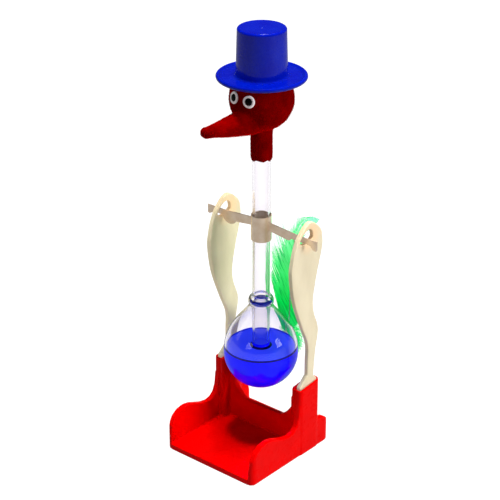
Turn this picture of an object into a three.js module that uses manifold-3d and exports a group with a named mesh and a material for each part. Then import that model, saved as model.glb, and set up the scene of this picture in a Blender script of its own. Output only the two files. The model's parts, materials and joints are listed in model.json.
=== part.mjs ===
// A drinking bird: a glass bird with felt head, hat and feather tail, swinging on a steel bar
// between two plastic legs that plug into an open tray.
// Millimetres, +Z up. The origin is the middle of the tray's underside, and the bird faces -Y.
import * as THREE from "three";
import { mergeVertices } from "three/addons/utils/BufferGeometryUtils.js";
import Module from "manifold-3d";

const wasm = await Module();
wasm.setup();

// ---------------------------------------------------------------- driving dimensions

// Tray
const trayWidth = 46.6;
const trayDepth = 50.4;
const pivotSetback = 33; // from the tray's front edge back to the pivot axis
const trayFloor = 2.5;
const trayWall = 2.4;
const frontCornerRadius = 2.4;
const rearCornerRadius = 3.6;
const frontEdgeHeight = 5.5;
const humpHeight = 16.8;
const valleyHeight = 12.7;
const rearHumpHeight = 12.8;
const crossWallHeight = 13.2;
const crossWallThickness = 2;
const crossNotchHalfWidth = 9.4;
const crossPanelHalfWidth = 15.2;
const socketHeight = 31.5; // at the leg's middle
const socketDepth = 13;
const socketTopSlope = 0.11; // rising towards the rear
const socketProud = 0.25; // how far the sockets stand out past the tray's sides
const socketOuterWall = 0.8;
const socketInnerWall = 1.9;
const socketFrontWall = 0.8;
const socketPocketDepth = 20;

// Legs
const legThickness = 2;
const legEdgeRound = 0.3;

// Pivot bar, one stamped strip
const barThickness = 0.5;
const barAbovePivot = 2.5; // at the legs
const barBelowPivot = 1.1;
const barArch = 1.2; // how much higher the strip lies at the sleeve than at the legs
const barOverhang = 6; // past the outer face of each leg
const sleeveWall = 0.4;
const sleeveAbovePivot = 6.1;
const sleeveBelowPivot = 4.7;
const stopLobeDrop = 2.9; // below the pivot edge
const stopLobeHalfWidth = 3.4;
const endHookDrop = 1.8;

// Glass
const tubeRadius = 3.65;
const tubeWall = 0.8;
const bulbRadius = 15.5;
const bulbWall = 0.8;
const pivotToBulb = 55.6; // from the pivot edge down to the widest part of the bulb
const bulbOverCrossWall = 12.1; // free height under the bulb
const neckAboveBulb = 21.3; // where the bulb meets its collar
const collarRadius = 5.25;
const collarHeight = 4.6;
const dipBelowBulbMiddle = 11; // how far the tube's open end lies below the bulb's middle
const liquidAboveBulbMiddle = 2.5;

// Head
const pivotToHead = 55.1;
const headRadius = 12.9;
const headFelt = 1.3;
const neckFelt = 0.6;
const neckFeltLength = 13;
const beakLength = 34.6; // from the head's middle to the beak's tip
const beakFelt = 0.8;
const eyeRadius = 2.5;
const pupilRadius = 1.35;
const eyeThickness = 0.9;
const eyeSpacing = 6.6;
const eyeAboveHeadMiddle = 2.9;

// Hat
const crownTopRadius = 9.6;
const crownFootRadius = 10.15;
const crownTopThickness = 1.1;
const hatWall = 0.9;
const hatHeight = 20.4;
const brimRadius = 17.8;
const brimThickness = 1.2;
const brimBead = 1.9; // height of the rounded bead round the brim's edge
const hatAboveHeadMiddle = 8.3; // underside of the brim

// Tail feather
const quillRadius = 0.45;
const vaneThickness = 0.9;
const leftVaneWidth = 12;
const rightVaneWidth = 9.6;
const tailReach = 35; // how far the tip lies behind the tube's axis
const tailRise = 49; // from the bulb's middle up to the top of the curl
const fluffRadius = 5.8;

// Clearances
const fitGap = 0.3; // between pieces that touch in the real object
const slideGap = 0.15; // between the tube and the sleeve that slides on it

// ---------------------------------------------------------------- derived places

const frontY = -trayDepth / 2;
const rearY = trayDepth / 2;
const pivotY = frontY + pivotSetback;
const bulbZ = crossWallHeight + bulbOverCrossWall + bulbRadius;
const pivotZ = bulbZ + pivotToBulb;
const headZ = pivotZ + pivotToHead;
const neckZ = bulbZ + neckAboveBulb;
const tubeEndZ = bulbZ - dipBelowBulbMiddle;
const liquidZ = bulbZ + liquidAboveBulbMiddle;
const brimZ = headZ + hatAboveHeadMiddle;
const socketOuterX = trayWidth / 2 + socketProud;
const footOuterX = socketOuterX - socketOuterWall - fitGap;
const footInnerX = footOuterX - legThickness;
const legX = (footInnerX + footOuterX) / 2;
const socketFrontY = pivotY - 2.8;
const socketRearY = socketFrontY + socketDepth;
const crossWallY = pivotY + 1.2; // its front face
const socketInnerX = footInnerX - fitGap - socketInnerWall;
const feltInnerRadius = headRadius - headFelt;
const glassHeadRadius = feltInnerRadius - fitGap;
const sleeveRadius = tubeRadius + slideGap + sleeveWall;

// ---------------------------------------------------------------- solids

// A three.js geometry as a manifold-3d solid, with its faces turned outwards.
function solidOf(geometry) {
  const bare = geometry.clone();
  bare.deleteAttribute("normal");
  bare.deleteAttribute("uv");
  const merged = mergeVertices(bare, 1e-4);
  const indices = new Uint32Array(merged.index.array);
  const positions = merged.attributes.position.array;
  const build = (triVerts) =>
    new wasm.Manifold(new wasm.Mesh({ numProp: 3, vertProperties: positions, triVerts }));
  const made = build(indices);
  if (made.volume() > 0) return made;
  return build(indices.slice().reverse());
}

function geometryOf(solid) {
  const mesh = solid.getMesh();
  const geometry = new THREE.BufferGeometry();
  geometry.setAttribute("position", new THREE.BufferAttribute(mesh.vertProperties, 3));
  geometry.setIndex(new THREE.BufferAttribute(mesh.triVerts, 1));
  geometry.computeVertexNormals();
  return geometry;
}

function unite(...solids) {
  return solids.reduce((sum, next) => sum.add(next));
}

function cut(solid, ...tools) {
  return tools.reduce((left, tool) => left.subtract(tool), solid);
}

function box(x0, x1, y0, y1, z0, z1) {
  const geometry = new THREE.BoxGeometry(x1 - x0, y1 - y0, z1 - z0);
  geometry.translate((x0 + x1) / 2, (y0 + y1) / 2, (z0 + z1) / 2);
  return solidOf(geometry);
}

// A profile of [radius, height] points turned about the vertical line through (0, y).
function turned(profile, y, segments = 30) {
  const points = profile.map(([radius, height]) => new THREE.Vector2(radius, height));
  const geometry = new THREE.LatheGeometry(points, segments);
  geometry.rotateX(Math.PI / 2);
  geometry.translate(0, y, 0);
  return solidOf(geometry);
}

// A shape drawn in (y, z), pushed out along X from x0 to x1, with its edges rounded off.
function platedX(shape, x0, x1, round = 0, curveSegments = 4) {
  const settings = {
    depth: x1 - x0 - 2 * round,
    bevelEnabled: round > 0,
    bevelThickness: round,
    bevelSize: round,
    bevelOffset: -round,
    bevelSegments: 2,
    curveSegments,
  };
  const geometry = new THREE.ExtrudeGeometry(shape, settings);
  // Drawn X becomes world Y, drawn Y becomes world Z and the depth becomes world X.
  const turn = new THREE.Matrix4().makeBasis(
    new THREE.Vector3(0, 1, 0),
    new THREE.Vector3(0, 0, 1),
    new THREE.Vector3(1, 0, 0),
  );
  geometry.applyMatrix4(turn);
  geometry.translate(x0 + round, 0, 0);
  return solidOf(geometry);
}

// A shape drawn in (x, z), pushed out along Y from y0 to y1.
function platedY(shape, y0, y1, curveSegments = 8) {
  const settings = { depth: y1 - y0, bevelEnabled: false, curveSegments };
  const geometry = new THREE.ExtrudeGeometry(shape, settings);
  geometry.rotateX(Math.PI / 2);
  geometry.translate(0, y1, 0);
  return solidOf(geometry);
}

// A shape drawn in (x, y), pushed up along Z from z0 to z1.
function platedZ(shape, z0, z1, curveSegments = 6) {
  const settings = { depth: z1 - z0, bevelEnabled: false, curveSegments };
  const geometry = new THREE.ExtrudeGeometry(shape, settings);
  geometry.translate(0, 0, z0);
  return solidOf(geometry);
}

function mirroredX(solid) {
  const geometry = geometryOf(solid);
  geometry.applyMatrix4(new THREE.Matrix4().makeScale(-1, 1, 1));
  return solidOf(geometry);
}

// A rectangle from (x0, y0) to (x1, y1) whose front corners have radius a and rear corners radius b.
function roundedRectangle(x0, x1, y0, y1, a, b) {
  const shape = new THREE.Shape();
  shape.moveTo(x0 + a, y0);
  shape.lineTo(x1 - a, y0);
  shape.absarc(x1 - a, y0 + a, a, -Math.PI / 2, 0);
  shape.lineTo(x1, y1 - b);
  shape.absarc(x1 - b, y1 - b, b, 0, Math.PI / 2);
  shape.lineTo(x0 + b, y1);
  shape.absarc(x0 + b, y1 - b, b, Math.PI / 2, Math.PI);
  shape.lineTo(x0, y0 + a);
  shape.absarc(x0 + a, y0 + a, a, Math.PI, 1.5 * Math.PI);
  return shape;
}

// Points of a circular arc in (radius, height), from one angle to another in degrees.
function arc(centreHeight, radius, from, to, steps, centreRadius = 0) {
  const points = [];
  for (let i = 0; i <= steps; i++) {
    const angle = THREE.MathUtils.degToRad(from + ((to - from) * i) / steps);
    points.push([centreRadius + radius * Math.cos(angle), centreHeight + radius * Math.sin(angle)]);
  }
  if (Math.abs(points[0][0]) < 1e-6) points[0][0] = 0;
  if (Math.abs(points[steps][0]) < 1e-6) points[steps][0] = 0;
  return points;
}

function sphere(radius, y, z, segments = 32) {
  const geometry = new THREE.SphereGeometry(radius, segments, segments / 2);
  geometry.rotateX(Math.PI / 2);
  geometry.translate(0, y, z);
  return solidOf(geometry);
}

// ---------------------------------------------------------------- tray

// The outline of a side wall in (y, z): a rounded front hump, a valley, the rise to the leg
// socket, and a low rounded hump behind it.
function sideWallShape() {
  const humpY = frontY + 9.5;
  const valleyY = socketFrontY - 6.7;
  const riseTop = socketHeight - 8;
  const shape = new THREE.Shape();
  shape.moveTo(frontY, 0);
  shape.lineTo(frontY, frontEdgeHeight);
  shape.bezierCurveTo(frontY + 0.3, humpHeight - 3, humpY - 5.4, humpHeight, humpY, humpHeight);
  shape.bezierCurveTo(humpY + 4.5, humpHeight, valleyY - 4.5, valleyHeight, valleyY, valleyHeight);
  shape.bezierCurveTo(valleyY + 4, valleyHeight, socketFrontY - 0.3, valleyHeight + 2, socketFrontY, riseTop);
  shape.lineTo(socketFrontY + 2, riseTop);
  shape.lineTo(socketRearY - 1, rearHumpHeight);
  shape.lineTo(socketRearY + 0.5, rearHumpHeight);
  shape.bezierCurveTo(rearY - 3.6, rearHumpHeight, rearY - 0.3, rearHumpHeight - 3, rearY, rearHumpHeight / 2);
  shape.lineTo(rearY, 0);
  return shape;
}

// The cross wall in (x, z): low in the middle, and rising in a curve to a panel at each socket.
function crossWallShape() {
  const panelTop = socketHeight - 1;
  const panelShoulder = crossWallHeight + 10.5;
  const curveTop = crossWallHeight + 6;
  const outer = socketInnerX + 1;
  const half = [
    [crossPanelHalfWidth, curveTop], [crossPanelHalfWidth, panelShoulder], [socketInnerX, panelTop],
    [outer, panelTop], [outer, 0],
  ];
  const bendX = (crossNotchHalfWidth + crossPanelHalfWidth) / 2;
  const bendZ = crossWallHeight + 1.4;
  const shape = new THREE.Shape();
  shape.moveTo(-crossNotchHalfWidth, crossWallHeight);
  shape.quadraticCurveTo(-bendX, bendZ, -crossPanelHalfWidth, curveTop);
  half.slice(1).forEach(([x, z]) => shape.lineTo(-x, z));
  half.reverse().forEach(([x, z]) => shape.lineTo(x, z));
  shape.quadraticCurveTo(bendX, bendZ, crossNotchHalfWidth, crossWallHeight);
  return shape;
}

// The right leg's socket: a column with rounded corners, a sloping top and a shallow groove down
// its front.
function socketColumn() {
  const plan = roundedRectangle(socketInnerX, socketOuterX, socketFrontY, socketRearY, 1.6, 2.4);
  const column = platedZ(plan, 0, socketHeight + 3);
  const topTool = new THREE.BoxGeometry(40, 40, 20);
  topTool.rotateX(Math.atan(socketTopSlope));
  const middleY = (socketFrontY + socketRearY) / 2;
  topTool.translate(legX, middleY, socketHeight + 10 * Math.hypot(1, socketTopSlope));
  const grooveX = footInnerX - 0.9;
  const grooveEnd = grooveX + 1.3;
  const groove = box(grooveX, grooveEnd, frontY, socketFrontY + 0.4, valleyHeight, socketHeight - 1);
  return cut(column, solidOf(topTool), groove);
}

function socketPocket() {
  return box(
    footInnerX - fitGap,
    footOuterX + fitGap,
    socketFrontY + socketFrontWall,
    socketRearY - socketFrontWall,
    socketHeight - socketPocketDepth,
    socketHeight + 20,
  );
}

function tray() {
  const footprint = roundedRectangle(
    -trayWidth / 2, trayWidth / 2, frontY, rearY, frontCornerRadius, rearCornerRadius,
  );
  const block = platedZ(footprint, 0, socketHeight);
  const rightWall = platedX(sideWallShape(), trayWidth / 2 - trayWall, trayWidth / 2);
  const walls = unite(rightWall, mirroredX(rightWall)).intersect(block);
  const crossWall = platedY(crossWallShape(), crossWallY, crossWallY + crossWallThickness);
  const floor = platedZ(footprint, 0, trayFloor);
  const column = socketColumn();
  const pocket = socketPocket();
  const joined = unite(floor, walls, crossWall, column, mirroredX(column));
  return cut(joined, pocket, mirroredX(pocket));
}

// ---------------------------------------------------------------- legs

// Points on the leg's outline, as [behind the pivot, above the pivot]. Those below the pivot
// stretch with the distance from the socket's top to the pivot.
const legStyleSpan = 64.9;
const legFront = [
  [3, -54], [2.9, -46.2], [-1, -37], [-5.9, -24.2], [-7.9, -12.2], [-7.2, -6.2], [-5.7, -1.2],
  [-2.8, 3.9], [3.4, 8.1],
];
const legRear = [
  [9.7, 3.7], [11.2, -1.2], [10.9, -6.2], [8, -16.2], [5.9, -26.4], [6.6, -33], [9.5, -41.2],
  [8, -50.5], [7, -60],
];

function legShape() {
  const stretch = (pivotZ - socketHeight) / legStyleSpan;
  const place = ([behind, above]) =>
    new THREE.Vector2(pivotY + behind, pivotZ + (above < 0 ? above * stretch : above));
  const outline = [...legFront, ...legRear].map(place);
  const ankleZ = socketHeight - 2;
  const shape = new THREE.Shape();
  shape.moveTo(pivotY + legFront[0][0], ankleZ);
  shape.lineTo(outline[0].x, outline[0].y);
  shape.splineThru(outline.slice(1));
  shape.lineTo(pivotY + legRear[legRear.length - 1][0], ankleZ);
  shape.holes.push(saddleHole());
  return shape;
}

// The hole that the bar rests in: a rounded triangle with a shallow saddle at its foot.
function saddleHole() {
  const reach = barAbovePivot + 0.45;
  const at = (behind, above) => [pivotY + behind, pivotZ + above];
  const hole = new THREE.Path();
  hole.moveTo(...at(0, -barThickness / 2 - fitGap));
  hole.quadraticCurveTo(...at(reach + 0.8, -0.2), ...at(reach + 2.1, 1.3));
  hole.quadraticCurveTo(...at(reach + 2.2, 4.8), ...at(2.6, 5.2));
  hole.quadraticCurveTo(...at(-0.4, 5), ...at(-reach, 1.7));
  hole.quadraticCurveTo(...at(-reach - 0.3, -0.3), ...at(0, -barThickness / 2 - fitGap));
  return hole;
}

// The foot in (y, z): it fills the socket's pocket and slopes up to the shank above it.
function footShape() {
  const front = socketFrontY + socketFrontWall + fitGap;
  const rear = socketRearY - socketFrontWall - fitGap;
  const shape = new THREE.Shape();
  shape.moveTo(front, socketHeight - socketPocketDepth + fitGap);
  shape.lineTo(rear, socketHeight - socketPocketDepth + fitGap);
  shape.lineTo(rear, socketHeight + 0.4);
  shape.quadraticCurveTo(rear - 0.7, socketHeight + 2, pivotY + 6, socketHeight + 3.4);
  shape.lineTo(pivotY + 2.4, socketHeight + 4);
  shape.quadraticCurveTo(pivotY + 1.4, socketHeight + 2.6, front, socketHeight + 0.4);
  return shape;
}

function rightLeg() {
  const plate = platedX(legShape(), legX - legThickness / 2, footOuterX, legEdgeRound);
  const foot = platedX(footShape(), footInnerX, footOuterX, 0.3);
  return unite(plate, foot);
}

// ---------------------------------------------------------------- pivot bar

// The strip in (x, z). Its lower edge has a saddle notch at each leg, a stop lobe inside the left
// leg, and a hook at each end. The pivot edge is the notches' upper edge.
function barShape() {
  const end = footOuterX + barOverhang;
  const notchOuter = footOuterX + 2.6;
  const notchInner = footInnerX - fitGap;
  const wideNotchInner = footInnerX - 5.1;
  const lobeX = -notchInner + stopLobeHalfWidth;
  const top = pivotZ + barAbovePivot;
  const low = pivotZ - barBelowPivot;
  const middleTop = top + barArch;
  const shape = new THREE.Shape();
  shape.moveTo(-end, top);
  shape.lineTo(-end, pivotZ - endHookDrop + 0.6);
  shape.lineTo(-end + 0.8, pivotZ - endHookDrop + 0.4);
  shape.quadraticCurveTo(-notchOuter - 1, pivotZ - 0.8, -notchOuter, pivotZ);
  shape.lineTo(-notchInner - 0.4, pivotZ);
  shape.quadraticCurveTo(-notchInner + 0.6, pivotZ - stopLobeDrop, lobeX, pivotZ - stopLobeDrop);
  shape.quadraticCurveTo(lobeX + 2.4, pivotZ - stopLobeDrop, lobeX + stopLobeHalfWidth, low);
  shape.lineTo(-sleeveRadius, low + barArch);
  shape.lineTo(sleeveRadius, low + barArch);
  shape.lineTo(wideNotchInner - 1.6, low);
  shape.quadraticCurveTo(wideNotchInner - 0.4, low, wideNotchInner, pivotZ);
  shape.lineTo(notchOuter, pivotZ);
  shape.quadraticCurveTo(notchOuter + 1, pivotZ - endHookDrop, end - 1, pivotZ - endHookDrop);
  shape.quadraticCurveTo(end, pivotZ - endHookDrop, end, pivotZ - endHookDrop + 1);
  shape.lineTo(end, top);
  shape.lineTo(notchInner, top);
  shape.lineTo(sleeveRadius, middleTop);
  shape.lineTo(-sleeveRadius, middleTop);
  shape.lineTo(-notchInner, top);
  return shape;
}

// The middle of the strip rolled round the glass tube, split behind its right side.
function sleeve() {
  const inner = tubeRadius + slideGap;
  const outer = sleeveRadius;
  const low = pivotZ - sleeveBelowPivot;
  const high = pivotZ + sleeveAbovePivot;
  const ring = turned([[inner, low], [outer, low], [outer, high], [inner, high], [inner, low]], pivotY);
  const split = new THREE.BoxGeometry(outer, 0.7, 40);
  split.translate(outer * 0.9, 0, 0);
  split.rotateZ(THREE.MathUtils.degToRad(38));
  split.translate(0, pivotY, pivotZ);
  return cut(ring, solidOf(split));
}

function pivotBar() {
  const strip = platedY(barShape(), pivotY - barThickness / 2, pivotY + barThickness / 2);
  const bore = new THREE.CylinderGeometry(tubeRadius + slideGap, tubeRadius + slideGap, 40, 36);
  bore.rotateX(Math.PI / 2);
  bore.translate(0, pivotY, pivotZ);
  const join = sleeveRadius - sleeveWall / 2;
  const arms = cut(strip, box(-join, join, pivotY - 5, pivotY + 5, pivotZ - 20, pivotZ + 20));
  return cut(unite(arms, sleeve()), solidOf(bore));
}

// ---------------------------------------------------------------- glass and liquid

// The straight tube, open at its foot, blown out into the head bulb at its top.
function glassStem() {
  const inner = tubeRadius - tubeWall;
  const innerHead = glassHeadRadius - tubeWall;
  const outerAngle = -THREE.MathUtils.radToDeg(Math.acos(tubeRadius / glassHeadRadius));
  const innerAngle = -THREE.MathUtils.radToDeg(Math.acos(inner / innerHead));
  return turned(
    [
      ...arc(headZ, innerHead, 90, innerAngle, 10),
      [inner, tubeEndZ],
      [tubeRadius, tubeEndZ],
      ...arc(headZ, glassHeadRadius, outerAngle, 90, 10),
    ],
    pivotY,
  );
}

// The pear outline above the bulb's widest part, as [share of the way from the tube's radius to
// the bulb's radius, share of the height from the widest part to the neck].
const shoulder = [
  [0.98, 0.18], [0.92, 0.315], [0.83, 0.43], [0.68, 0.56], [0.5, 0.695], [0.285, 0.826], [0.08, 0.95],
];

function bulbOutline(inset) {
  const radius = bulbRadius - inset;
  const tube = tubeRadius + fitGap + bulbWall - inset;
  const rise = neckAboveBulb;
  return [
    ...arc(bulbZ, radius, -90, 0, 10),
    ...shoulder.map(([out, up]) => [tube + (radius - tube) * out, bulbZ + rise * up]),
  ];
}

function glassBulb() {
  const bore = tubeRadius + fitGap;
  const collarZ = neckZ + collarHeight / 2;
  const inside = bulbOutline(bulbWall).reverse();
  return turned(
    [
      ...bulbOutline(0),
      [collarRadius - 0.2, neckZ + 0.8],
      [collarRadius, collarZ - 0.6],
      [collarRadius, collarZ + 0.3],
      [collarRadius - 0.5, collarZ + 1.4],
      [bore + 0.3, neckZ + collarHeight],
      [bore, neckZ + collarHeight],
      [bore, neckZ],
      ...inside,
    ],
    pivotY,
  );
}

// The liquid round the dipped tube: it fills the bulb's inside up to the liquid's level.
function liquidPool() {
  const below = bulbOutline(bulbWall + fitGap).filter(([, z]) => z < liquidZ - 0.2);
  const last = below[below.length - 1];
  const bore = tubeRadius + fitGap;
  return turned(
    [
      ...below,
      [last[0] - 0.02, liquidZ],
      [bore, liquidZ],
      [bore, tubeEndZ - fitGap],
      [0, tubeEndZ - fitGap],
    ],
    pivotY,
  );
}

function liquidColumn() {
  const radius = tubeRadius - tubeWall - fitGap;
  return turned([[0, tubeEndZ], [radius, tubeEndZ], [radius, liquidZ], [0, liquidZ]], pivotY, 24);
}

// ---------------------------------------------------------------- head

function headCover() {
  const bore = tubeRadius + slideGap + fitGap;
  const outerAngle = -THREE.MathUtils.radToDeg(Math.acos(bore / headRadius));
  const innerAngle = -THREE.MathUtils.radToDeg(Math.acos(bore / feltInnerRadius));
  const shell = turned(
    [...arc(headZ, headRadius, outerAngle, 90, 12), ...arc(headZ, feltInnerRadius, 90, innerAngle, 12),
      [headRadius * Math.cos(THREE.MathUtils.degToRad(outerAngle)),
        headZ + headRadius * Math.sin(THREE.MathUtils.degToRad(outerAngle))]],
    pivotY,
  );
  return cut(shell, hatSeat());
}

// What the hat's brim and crown take off the head cover, so that the hat sits down over it.
function hatSeat() {
  const inner = crownFootRadius - hatWall - fitGap;
  const outer = headRadius + 1;
  const low = brimZ - fitGap;
  const high = headZ + headRadius + 1;
  return turned([[inner, low], [outer, low], [outer, high], [inner, high], [inner, low]], pivotY);
}

function neckSleeve() {
  const inner = tubeRadius + slideGap;
  const outer = inner + neckFelt;
  const high = headZ - Math.sqrt(headRadius ** 2 - outer ** 2) - fitGap;
  const low = high - neckFeltLength;
  return turned([[inner, low], [outer, low], [outer, high], [inner, high], [inner, low]], pivotY, 28);
}

// The beak as a blunt cone lying forwards from the head's middle. Its middle line rises slightly
// towards the tip, and inset is how far its surface is drawn in.
function beakForm(inset) {
  const tip = beakLength - inset;
  const stations = [
    [8, 5.6], [12.5, 5], [16, 4.45], [20, 3.9], [24, 3.25], [28, 2.65], [beakLength - 4, 2.25],
    [beakLength - 2, 2], [beakLength - 0.8, 1.5], [beakLength - 0.2, 0.8],
  ];
  const profile = [
    [0, 8],
    ...stations.map(([reach, radius]) => [Math.max(radius - inset, 0.15), Math.min(reach, tip - 0.1)]),
    [0, tip],
  ];
  const increasing = profile.filter(([, reach], i) => i === 0 || i === 1 || reach > profile[i - 1][1] + 1e-6);
  const points = increasing.map(([radius, reach]) => new THREE.Vector2(radius, reach));
  const geometry = new THREE.LatheGeometry(points, 18);
  const position = geometry.attributes.position;
  // The profile runs along +Y here: turn it to run along -Y, and lift it along its rising line.
  for (let i = 0; i < position.count; i++) {
    const reach = position.getY(i);
    const lift = -7 + 2.6 * ((reach - 8) / (beakLength - 8)) ** 1.5;
    position.setXYZ(i, position.getX(i), pivotY - reach, headZ + lift + position.getZ(i));
  }
  return solidOf(geometry);
}

function beakCover() {
  const clearHead = sphere(headRadius + fitGap, pivotY, headZ);
  return cut(beakForm(0), beakForm(beakFelt), clearHead);
}

function beakCore() {
  const clearHead = sphere(headRadius + fitGap, pivotY, headZ);
  return cut(beakForm(beakFelt + fitGap), clearHead);
}

// ---------------------------------------------------------------- eyes

// Turns and moves a piece that was modelled about +Z so that it lies on the head at an eye.
function placeEye(geometry, side) {
  const across = (side * eyeSpacing) / 2;
  const out = headRadius + fitGap;
  const forward = Math.sqrt(out ** 2 - across ** 2 - eyeAboveHeadMiddle ** 2);
  const normal = new THREE.Vector3(across, -forward, eyeAboveHeadMiddle).normalize();
  const turn = new THREE.Quaternion().setFromUnitVectors(new THREE.Vector3(0, 0, 1), normal);
  geometry.applyQuaternion(turn);
  geometry.translate(across, pivotY - forward, headZ + eyeAboveHeadMiddle);
  return solidOf(geometry);
}

function eyeWhite(side) {
  const hollow = pupilRadius + 0.15;
  const points = [
    [0, 0], [eyeRadius - 0.2, 0], [eyeRadius, 0.25], [eyeRadius - 0.15, 0.5],
    [hollow + 0.3, eyeThickness], [hollow, eyeThickness], [hollow, 0.35], [0, 0.35],
  ].map(([radius, height]) => new THREE.Vector2(radius, height));
  const geometry = new THREE.LatheGeometry(points, 24);
  geometry.rotateX(Math.PI / 2);
  return placeEye(geometry, side);
}

function eyePupil(side) {
  const points = [
    [0, 0.45], [pupilRadius, 0.45], [pupilRadius, eyeThickness], [pupilRadius * 0.6, eyeThickness + 0.25],
    [0, eyeThickness + 0.32],
  ].map(([radius, height]) => new THREE.Vector2(radius, height));
  const geometry = new THREE.LatheGeometry(points, 20);
  geometry.rotateX(Math.PI / 2);
  return placeEye(geometry, side);
}

// ---------------------------------------------------------------- hat

function hat() {
  const top = brimZ + hatHeight;
  const edge = 0.8;
  const half = brimBead / 2;
  return turned(
    [
      [0, top],
      [0, top - crownTopThickness],
      [crownTopRadius - hatWall, top - crownTopThickness],
      [crownFootRadius - hatWall, brimZ],
      ...arc(brimZ + half, half, -90, 90, 8, brimRadius - half),
      [brimRadius - brimBead, brimZ + brimThickness],
      [crownFootRadius + 0.7, brimZ + brimThickness],
      [crownFootRadius + 0.15, brimZ + brimThickness + 0.35],
      [crownFootRadius - 0.03, brimZ + brimThickness + 1],
      ...arc(top - edge, edge, 0, 90, 4, crownTopRadius - edge),
      [0, top],
    ],
    pivotY,
    40,
  );
}

// ---------------------------------------------------------------- tail feather

// The quill's middle line: up behind the bulb, then curling back at the top.
function quillLine() {
  const foot = bulbRadius + 1.7;
  const at = (behind, above) => new THREE.Vector3(0, pivotY + behind, bulbZ + above);
  return new THREE.CatmullRomCurve3([
    at(foot, -1),
    at(foot + 1.5, 9),
    at(foot + 2, tailRise * 0.5),
    at(foot + 2.8, tailRise * 0.76),
    at(foot + 6, tailRise * 0.93),
    at(foot + 10.6, tailRise),
    at(tailReach, tailRise - 0.6),
  ]);
}

function quillSolid(radius) {
  const shape = new THREE.Shape();
  shape.absarc(0, 0, radius, 0, 2 * Math.PI);
  const settings = { steps: 24, bevelEnabled: false, extrudePath: quillLine(), curveSegments: 8 };
  return solidOf(new THREE.ExtrudeGeometry(shape, settings));
}

// How far a vane of the given full width reaches out at a share of the quill's length.
function vaneReach(share, width) {
  const opening = Math.min(1, share / 0.14);
  const closing = Math.min(1, (1 - share) / 0.42) ** 1.1;
  return 1.2 + (width - 1.2) * Math.sqrt(opening) * closing;
}

// One vane: a thin curved blade along the quill, on the side given by 1 or -1.
function vane(side) {
  const width = side < 0 ? leftVaneWidth : rightVaneWidth;
  const line = quillLine();
  const inner = quillRadius + fitGap;
  const stations = 22;
  const corners = [];
  for (let i = 0; i <= stations; i++) {
    const share = 0.05 + (0.93 * i) / stations;
    const centre = line.getPointAt(share);
    const along = line.getTangentAt(share);
    const normal = new THREE.Vector3(0, -along.z, along.y).multiplyScalar(vaneThickness / 2);
    const outer = vaneReach(share, width);
    const droop = new THREE.Vector3(0, -along.z, along.y).multiplyScalar(-0.12 * outer);
    for (const [reach, face] of [[inner, -1], [outer, -1], [outer, 1], [inner, 1]]) {
      const corner = centre.clone().addScaledVector(normal, face);
      if (reach === outer) corner.add(droop);
      corner.x = side * reach;
      corners.push(corner);
    }
  }
  return solidOf(lofted(corners, 4));
}

// Closes rings of points, each of the given count, into one body with a flat cap at each end.
function lofted(points, count) {
  const rings = points.length / count;
  const indices = [];
  for (let ring = 0; ring + 1 < rings; ring++) {
    for (let i = 0; i < count; i++) {
      const a = ring * count + i;
      const b = ring * count + ((i + 1) % count);
      indices.push(a, b, a + count, b, b + count, a + count);
    }
  }
  const last = (rings - 1) * count;
  for (let i = 1; i + 1 < count; i++) {
    indices.push(0, i + 1, i);
    indices.push(last, last + i, last + i + 1);
  }
  const geometry = new THREE.BufferGeometry().setFromPoints(points);
  geometry.setIndex(indices);
  return geometry;
}

function bulbKeepOut() {
  return turned([...bulbOutline(-fitGap), [0, neckZ]], pivotY);
}

function glueBlob() {
  const centre = quillLine().getPointAt(0);
  const geometry = new THREE.SphereGeometry(2.4, 14, 8);
  geometry.scale(1, 1, 1.3);
  geometry.translate(0, centre.y - 0.9, centre.z + 0.6);
  return cut(solidOf(geometry), bulbKeepOut(), quillSolid(quillRadius + fitGap));
}

// The down at the quill's foot: a soft lump that hangs behind the bulb.
function fluff() {
  const centre = quillLine().getPointAt(0);
  const geometry = new THREE.SphereGeometry(fluffRadius, 18, 12);
  geometry.scale(1, 0.72, 1.35);
  geometry.translate(0, centre.y + 4, centre.z - 2.2);
  const glueRoom = new THREE.SphereGeometry(2.4 + fitGap, 14, 8);
  glueRoom.scale(1, 1, 1.3);
  glueRoom.translate(0, centre.y - 0.9, centre.z + 0.6);
  return cut(solidOf(geometry), bulbKeepOut(), solidOf(glueRoom), quillSolid(quillRadius + fitGap));
}

// ---------------------------------------------------------------- the assembly

const finish = (color, roughness, metalness = 0, opacity = 1) =>
  new THREE.MeshStandardMaterial({
    color, roughness, metalness, opacity, transparent: opacity < 1,
  });
const redPlastic = finish(0xe00808, 0.25);
const ivoryPlastic = finish(0xe3d8ba, 0.45);
const brightSteel = finish(0xb3a596, 0.25, 1);
const clearGlass = finish(0xf4f8fa, 0.04, 0, 0.3);
const blueLiquid = finish(0x0a14e6, 0.05, 0, 0.85);
const redFelt = finish(0x7c0505, 0.95);
const bluePlastic = finish(0x0a1ee6, 0.22);
const whiteGloss = finish(0xf2efee, 0.35);
const blackGloss = finish(0x060606, 0.25);
const greenDown = finish(0x10d870, 0.85);
const quillHorn = finish(0xbfe8c4, 0.5);
const corkCore = finish(0xb98a5a, 0.85);
const clearGlue = finish(0xe8e2cf, 0.3, 0, 0.8);

const bird = new THREE.Group();

function addPiece(name, solid, material) {
  const mesh = new THREE.Mesh(geometryOf(solid), material);
  mesh.name = name;
  bird.add(mesh);
}

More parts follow.
